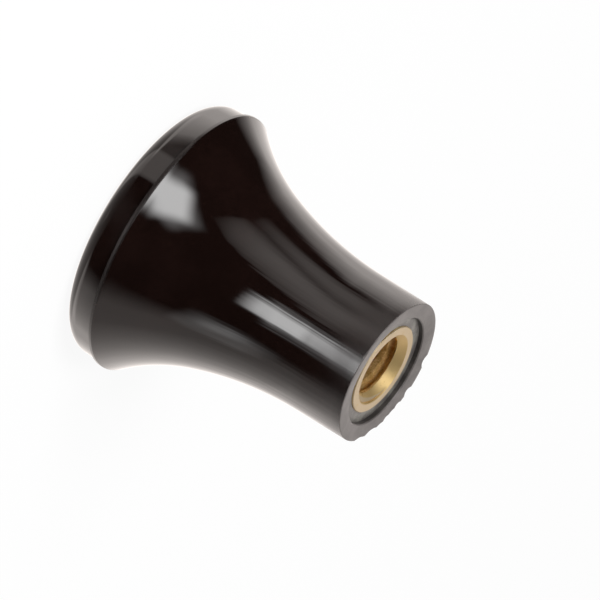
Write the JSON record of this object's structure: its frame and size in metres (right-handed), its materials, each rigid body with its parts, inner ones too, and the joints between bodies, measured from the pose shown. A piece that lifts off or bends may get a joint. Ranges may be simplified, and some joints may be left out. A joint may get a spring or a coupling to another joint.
{
  "type": "flared pull knob",
  "caption": "Flared pull knob of glossy black phenolic plastic, with a flat round head, a lip, a slim stem and a moulded-in brass insert threaded for a stud.",
  "frame": {"origin": "centre of the flat front face, on the surface that the knob stands on", "axes": "+Z along the knob's axis, from the front face up to the stem's end, where the insert opens; X and Y lie in the front face, and most of the chips in the stem's rim are towards +Y"},
  "size_m": [0.0237, 0.0236, 0.0243],
  "materials": {
    "phenolic": "glossy moulded black with a warm brown tint, matt and chipped at the stem's end",
    "brass": "turned and tapped brass, dull on the end ring and bright in the countersink"
  },
  "bodies": {
    "root": {"knob_body": "phenolic", "threaded_insert": "brass"}
  },
  "joints": []
}
